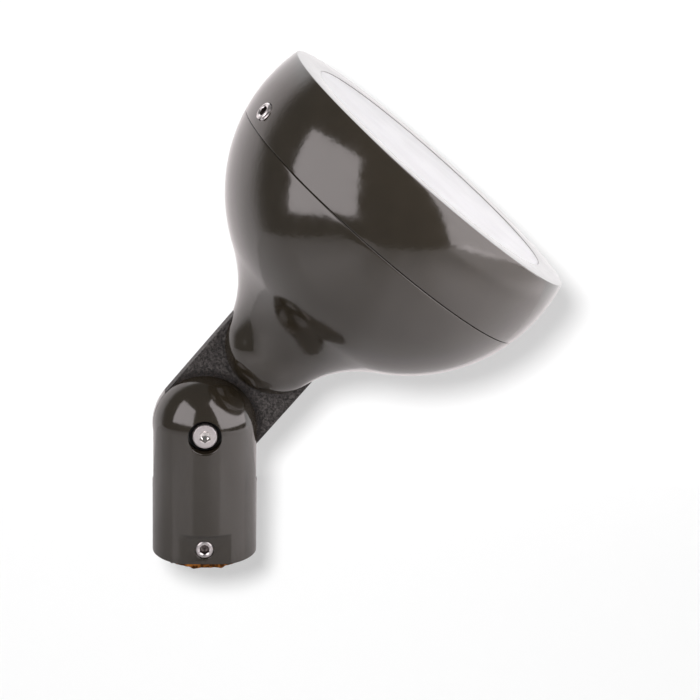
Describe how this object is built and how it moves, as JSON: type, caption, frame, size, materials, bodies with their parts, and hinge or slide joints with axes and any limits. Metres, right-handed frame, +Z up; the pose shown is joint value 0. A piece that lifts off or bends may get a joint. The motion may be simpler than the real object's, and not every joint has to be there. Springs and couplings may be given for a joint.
{
  "type": "wall washer light",
  "caption": "Outdoor flood light: bowl-shaped head with a front ring and glass lens, on a flat arm that tilts in a domed, swivelling knuckle.",
  "frame": {"origin": "centre of the stem bushing's lower face, where the light screws on its stem", "axes": "+Z up along the knuckle's swivel axis, Y along the pivot bolt with its head at -Y, +X the side that the head leans to at rest"},
  "size_m": [0.1491, 0.1308, 0.1895],
  "materials": {
    "bronze_coat": "gloss",
    "textured_coat": "matte",
    "stainless": "polished",
    "brass": "satin",
    "black_nylon": "matte",
    "black_rubber": "matte",
    "grey_silicone": "matte",
    "clear_glass": "gloss",
    "reflector_coat": "polished",
    "bare_aluminium": "satin",
    "white_board": "matte",
    "led_phosphor": "gloss",
    "ivory_ceramic": "satin",
    "red_lead": "matte"
  },
  "bodies": {
    "stem": {"stem_bushing": "brass"},
    "knuckle": {"knuckle_body": "bronze_coat", "wire_grommet": "black_rubber", "stem_set_screw": "stainless", "pivot_bolt": "stainless", "pivot_washer": "black_nylon", "pivot_nut": "stainless"},
    "head": {"tilt_arm": "textured_coat", "friction_washer_near": "black_nylon", "friction_washer_far": "black_nylon", "rear_housing": "bronze_coat", "arm_screw_1": "stainless", "arm_screw_2": "stainless", "neck_gland": "black_rubber", "front_ring": "bronze_coat", "ring_screw_1": "stainless", "ring_screw_2": "stainless", "ring_gasket": "grey_silicone", "lens": "clear_glass", "lens_gasket": "grey_silicone", "lamp_seat": "black_rubber", "lamp_reflector": "reflector_coat", "lamp_glass": "clear_glass", "heat_sink": "bare_aluminium", "led_board": "white_board", "led_dome": "led_phosphor", "lamp_base": "ivory_ceramic", "terminal_screw_1": "brass", "terminal_screw_2": "brass", "lead_lug_1": "brass", "lead_lug_2": "brass", "lead_1": "black_nylon", "lead_2": "red_lead"}
  },
  "joints": [
    {"name": "knuckle_swivel", "type": "hinge", "parent": "stem", "child": "knuckle", "pos_m": [0, 0, 0], "axis": [0, 0, 1], "range_deg": [-180, 180]},
    {"name": "head_tilt", "type": "hinge", "parent": "knuckle", "child": "head", "pos_m": [0, 0, 0.0519], "axis": [0, -1, 0], "range_deg": [-50.1, 129.9]}
  ]
}
